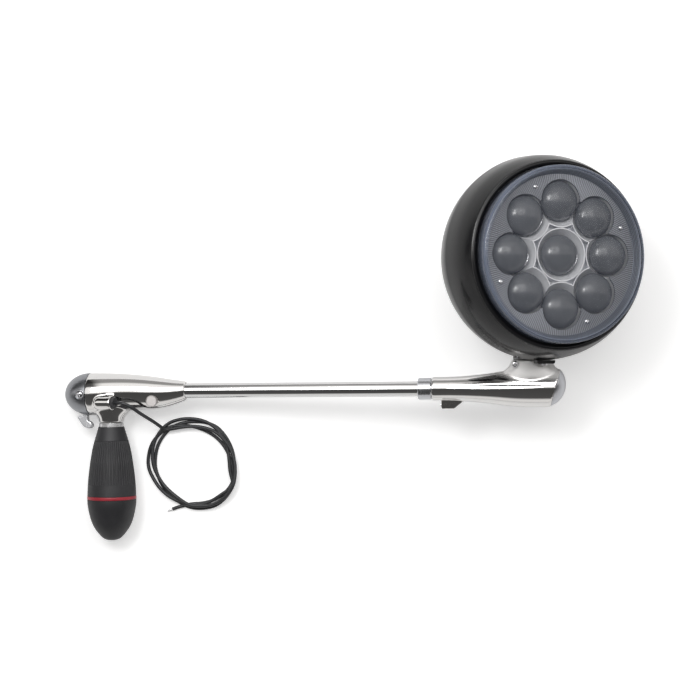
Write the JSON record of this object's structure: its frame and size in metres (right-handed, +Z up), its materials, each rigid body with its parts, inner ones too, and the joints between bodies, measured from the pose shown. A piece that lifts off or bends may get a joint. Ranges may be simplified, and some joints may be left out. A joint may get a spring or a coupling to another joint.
{
  "type": "pillar spotlight",
  "caption": "Through-post LED spotlight lying on a bench: a round lamp on a gooseneck, turned through a shaft and bevel gears by twisting a fluted grip, with a finger trigger and a coiled lead.",
  "frame": {"origin": "centre of the lamp's box without its lead, on the bench it lies on", "axes": "+X along the shaft from the handle to the lamp, +Y from the shaft towards the lamp head, +Z up from the bench"},
  "size_m": [0.4844, 0.3162, 0.1481],
  "materials": {
    "bright_tube": "polished tube",
    "collar_steel": "bright turned steel",
    "polished_casting": "polished chrome on a casting",
    "satin_cap": "dark satin metal",
    "dome_cap": "satin bright metal",
    "screw_steel": "bright screw",
    "plug_steel": "bright flat plug",
    "gear_steel": "machined steel",
    "bush_bronze": "bronze",
    "ferrule_metal": "brushed",
    "grip_black": "matte black",
    "grip_band_red": "red",
    "inner_plastic": "black moulding",
    "housing_black": "gloss black",
    "engine_metal": "die cast",
    "board_white": "circuit board",
    "emitter_yellow": "phosphor",
    "cup_chrome": "bright reflector",
    "optic_glass": "pressed glass",
    "plate_grey": "turned grey metal",
    "cover_clear": "clear",
    "seal_rubber": "black",
    "lead_grey": "dark grey insulation",
    "strand_tin": "tinned strands"
  },
  "bodies": {
    "frame": {"shaft_tube": "bright_tube", "shaft_collar": "collar_steel", "handle_shaft_bush": "bush_bronze", "gooseneck_shaft_bush": "bush_bronze", "handle_casting": "polished_casting", "handle_end_cap": "satin_cap", "end_cap_screw": "screw_steel", "clamp_bolt": "plug_steel", "lead_gland": "inner_plastic", "switch_bracket": "inner_plastic", "trigger_switch": "inner_plastic", "lever_pin": "screw_steel", "grip_bush": "bush_bronze", "gooseneck_casting": "polished_casting", "gooseneck_end_cap": "dome_cap", "lug_set_screw": "screw_steel", "neck_screw": "screw_steel", "post_bush": "bush_bronze", "post_washer": "inner_plastic", "lead_tube": "lead_grey", "lead_coil": "lead_grey", "lead_tail": "lead_grey", "lead_strands": "strand_tin"},
    "drive_shaft_set": {"drive_shaft": "gear_steel", "handle_shaft_gear": "gear_steel", "gooseneck_shaft_gear": "gear_steel", "shaft_gear_pins": "gear_steel"},
    "grip": {"grip_spindle": "gear_steel", "grip_gear": "gear_steel", "grip_gear_pin": "gear_steel", "grip_ferrule": "ferrule_metal", "grip_body": "grip_black", "grip_band": "grip_band_red", "grip_end_cap": "grip_black"},
    "lamp_head": {"lamp_post": "gear_steel", "post_gear": "gear_steel", "post_gear_pin": "gear_steel", "post_nut": "gear_steel", "rear_shell": "housing_black", "bezel": "housing_black", "bezel_gasket": "seal_rubber", "bezel_clamp_tab": "housing_black", "bezel_screw": "screw_steel", "module_housing": "engine_metal", "led_board": "board_white", "led_emitters": "emitter_yellow", "reflector_cups": "cup_chrome", "lens_optics": "optic_glass", "optics_plate": "plate_grey", "plate_screws": "screw_steel", "lens_cover": "cover_clear", "lens_gasket": "seal_rubber"},
    "trigger": {"trigger_lever": "polished_casting"}
  },
  "joints": [
    {"name": "head_pan", "type": "hinge", "parent": "frame", "child": "lamp_head", "pos_m": [0.15312, -0.03037, 0.06514], "axis": [0, 1, -0.0058], "continuous": true},
    {"name": "shaft_spin", "type": "hinge", "parent": "frame", "child": "drive_shaft_set", "pos_m": [-0.03796, -0.03051, 0.04107], "axis": [0.9922, 0.0007, 0.125], "continuous": true},
    {"name": "grip_twist", "type": "hinge", "parent": "frame", "child": "grip", "pos_m": [-0.20217, -0.09063, 0.02073], "axis": [0, 1, -0.0058], "continuous": true},
    {"name": "trigger_pull", "type": "hinge", "parent": "frame", "child": "trigger", "pos_m": [-0.22439, -0.04344, 0.01766], "axis": [-0.125, 0.0058, 0.9921], "range_deg": [0, 8], "stiffness_Nm_per_rad": 0.05}
  ],
  "couplings": [
    {"joint": "shaft_spin", "follows": "head_pan", "ratio": 1},
    {"joint": "grip_twist", "follows": "head_pan", "ratio": 1}
  ]
}
